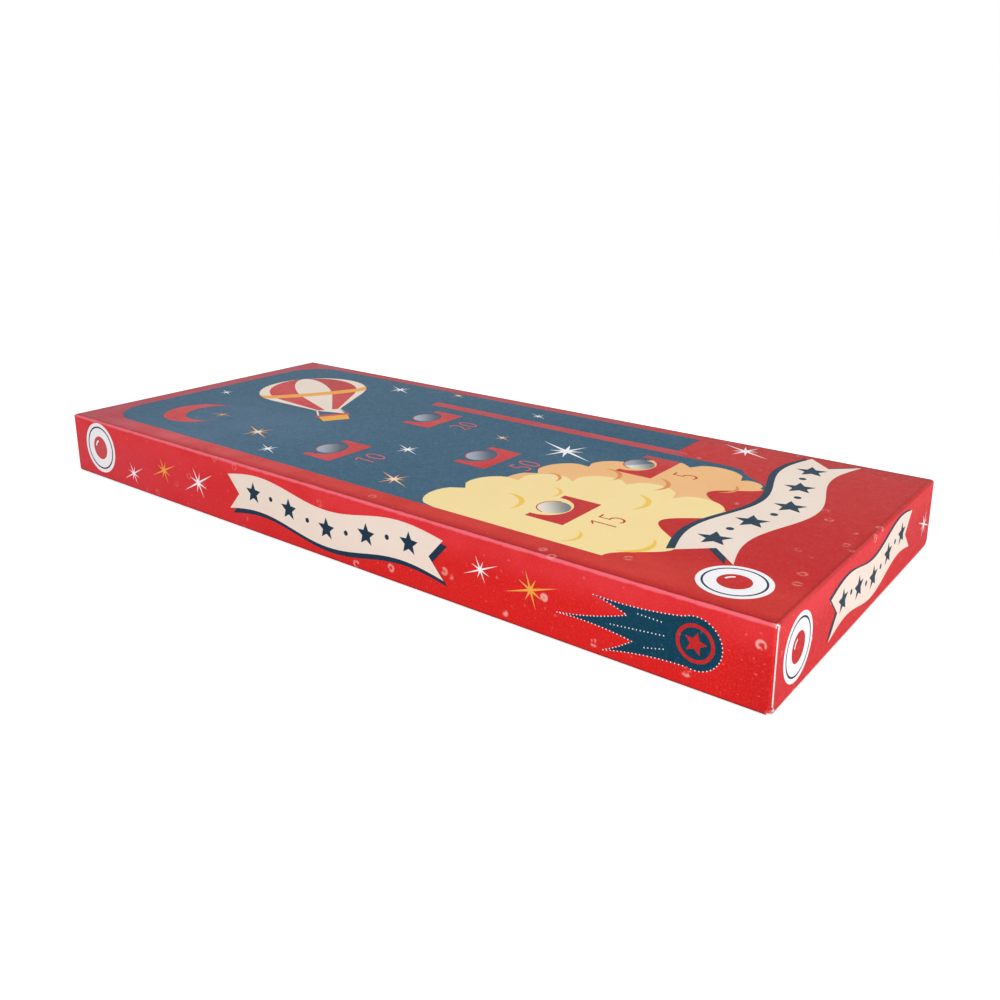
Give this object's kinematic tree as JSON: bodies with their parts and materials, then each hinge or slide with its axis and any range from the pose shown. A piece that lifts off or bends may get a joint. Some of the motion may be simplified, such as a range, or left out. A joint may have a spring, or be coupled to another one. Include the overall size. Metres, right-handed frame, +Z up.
{
  "type": "bagatelle board game",
  "caption": "Flat tuck-end carton printed with a bagatelle playfield, holding the wooden tray game with its spring plunger, score cups and steel ball.",
  "frame": {"origin": "centre of the carton's underside", "axes": "+X to the near end, where the plunger is; +Y to the rear long side, where the launch lane is; +Z up"},
  "size_m": [0.37, 0.159, 0.029],
  "materials": {
    "printed_board": "offset-printed folding boxboard, satin varnish outside, white inside",
    "bare_plywood": "bare birch plywood, sanded",
    "playfield_print": "printed card, matt varnish",
    "painted_wood": "red painted wood, satin",
    "turned_beech": "turned beech, clear lacquer",
    "foot_rubber": "soft black rubber",
    "steel_rod": "drawn steel",
    "spring_steel": "cold-wound spring wire, bright",
    "collar_plastic": "moulded nylon",
    "washer_felt": "pressed wool felt",
    "ball_steel": "polished bearing steel"
  },
  "bodies": {
    "carton": {"carton_top_panel": "printed_board", "carton_front_panel": "printed_board", "carton_rear_panel": "printed_board", "carton_bottom_panel": "printed_board", "carton_glue_flap": "printed_board"},
    "near_closure": {"near_closure_panel": "printed_board"},
    "near_tuck": {"near_tuck_flap": "printed_board"},
    "near_dust_rear": {"near_dust_flap_rear": "printed_board"},
    "near_dust_front": {"near_dust_flap_front": "printed_board"},
    "far_closure": {"far_closure_panel": "printed_board"},
    "far_tuck": {"far_tuck_flap": "printed_board"},
    "far_dust_rear": {"far_dust_flap_rear": "printed_board"},
    "far_dust_front": {"far_dust_flap_front": "printed_board"},
    "game": {"base_board": "bare_plywood", "playfield_sheet": "playfield_print", "far_rail": "painted_wood", "front_rail": "painted_wood", "rear_rail": "painted_wood", "near_rail": "painted_wood", "lane_divider": "painted_wood", "scalloped_apron": "painted_wood", "plunger_housing": "painted_wood", "foot_pads": "foot_rubber", "score_cup_5": "painted_wood", "score_cup_10": "painted_wood", "score_cup_15": "painted_wood", "score_cup_20": "painted_wood", "score_cup_50": "painted_wood"},
    "plunger": {"plunger_rod": "steel_rod", "plunger_tip": "foot_rubber", "spring_collar": "collar_plastic", "plunger_spring": "spring_steel", "knob_washer": "washer_felt", "plunger_knob": "turned_beech"},
    "launch_ball": {"launch_ball": "ball_steel"}
  },
  "joints": [
    {"name": "game_slide", "type": "slide", "parent": "carton", "child": "game", "axis": [1, 0, 0], "range_m": [0, 0.05]},
    {"name": "near_closure_hinge", "type": "hinge", "parent": "carton", "child": "near_closure", "pos_m": [0.1851, 0, 0.0279], "axis": [0, -1, 0], "range_deg": [0, 180]},
    {"name": "near_tuck_hinge", "type": "hinge", "parent": "near_closure", "child": "near_tuck", "pos_m": [0.1839, 0, 0.00075], "axis": [0, -1, 0], "range_deg": [0, 18]},
    {"name": "near_dust_rear_hinge", "type": "hinge", "parent": "carton", "child": "near_dust_rear", "pos_m": [0.1843, 0.0784, 0.0145], "axis": [0, 0, 1], "range_deg": [0, 144]},
    {"name": "near_dust_front_hinge", "type": "hinge", "parent": "carton", "child": "near_dust_front", "pos_m": [0.1843, -0.0784, 0.0145], "axis": [0, 0, -1], "range_deg": [0, 144]},
    {"name": "far_closure_hinge", "type": "hinge", "parent": "carton", "child": "far_closure", "pos_m": [-0.1851, 0, 0.0279], "axis": [0, 1, 0], "range_deg": [0, 180]},
    {"name": "far_tuck_hinge", "type": "hinge", "parent": "far_closure", "child": "far_tuck", "pos_m": [-0.1839, 0, 0.00075], "axis": [0, 1, 0], "range_deg": [0, 18]},
    {"name": "far_dust_rear_hinge", "type": "hinge", "parent": "carton", "child": "far_dust_rear", "pos_m": [-0.1843, 0.0784, 0.0145], "axis": [0, 0, -1], "range_deg": [0, 144]},
    {"name": "far_dust_front_hinge", "type": "hinge", "parent": "carton", "child": "far_dust_front", "pos_m": [-0.1843, -0.0784, 0.0145], "axis": [0, 0, 1], "range_deg": [0, 144]},
    {"name": "plunger_slide", "type": "slide", "parent": "game", "child": "plunger", "axis": [1, 0, 0], "range_m": [0, 0.018], "stiffness_N_per_m": 150, "springref_m": -0.01, "deforming": ["plunger_spring"]},
    {"name": "launch_ball_roll", "type": "slide", "parent": "game", "child": "launch_ball", "axis": [-1, 0, 0], "range_m": [0, 0.2144]}
  ],
  "couplings": [
    {"joint": "near_closure_hinge", "follows": "game_slide", "rad_per_m": 62.832},
    {"joint": "near_tuck_hinge", "follows": "game_slide", "rad_per_m": 6.2832},
    {"joint": "near_dust_rear_hinge", "follows": "game_slide", "rad_per_m": 50.265},
    {"joint": "near_dust_front_hinge", "follows": "game_slide", "rad_per_m": 50.265},
    {"joint": "far_tuck_hinge", "follows": "far_closure_hinge", "ratio": 0.1},
    {"joint": "far_dust_rear_hinge", "follows": "far_closure_hinge", "ratio": 0.8},
    {"joint": "far_dust_front_hinge", "follows": "far_closure_hinge", "ratio": 0.8}
  ]
}
